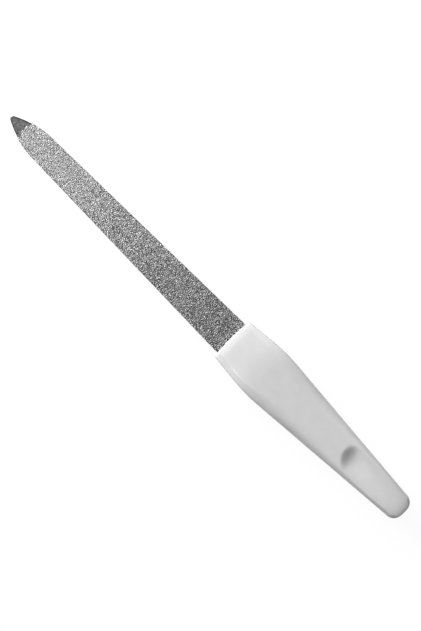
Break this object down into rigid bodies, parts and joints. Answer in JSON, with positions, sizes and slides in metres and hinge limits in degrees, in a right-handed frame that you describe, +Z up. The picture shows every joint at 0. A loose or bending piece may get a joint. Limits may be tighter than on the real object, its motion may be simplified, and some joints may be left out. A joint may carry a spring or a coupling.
{
  "type": "nail file",
  "caption": "Slim nail file: a pointed steel blade coated with sapphire grit on both faces, in a flared and tapered moulded plastic handle with a shallow scoop near its tail.",
  "frame": {"origin": "on the surface that the file lies on, under the middle of its length and width", "axes": "+X along the file from its point to the tail of the handle, +Y across it, +Z up out of the front face with the scoop"},
  "size_m": [0.15, 0.0154, 0.0054],
  "materials": {
    "bare_steel": "satin",
    "sapphire_grit": "matte",
    "white_plastic": "satin"
  },
  "bodies": {
    "root": {"steel_blade": "bare_steel", "front_grit_coat": "sapphire_grit", "back_grit_coat": "sapphire_grit", "handle": "white_plastic"}
  },
  "joints": []
}
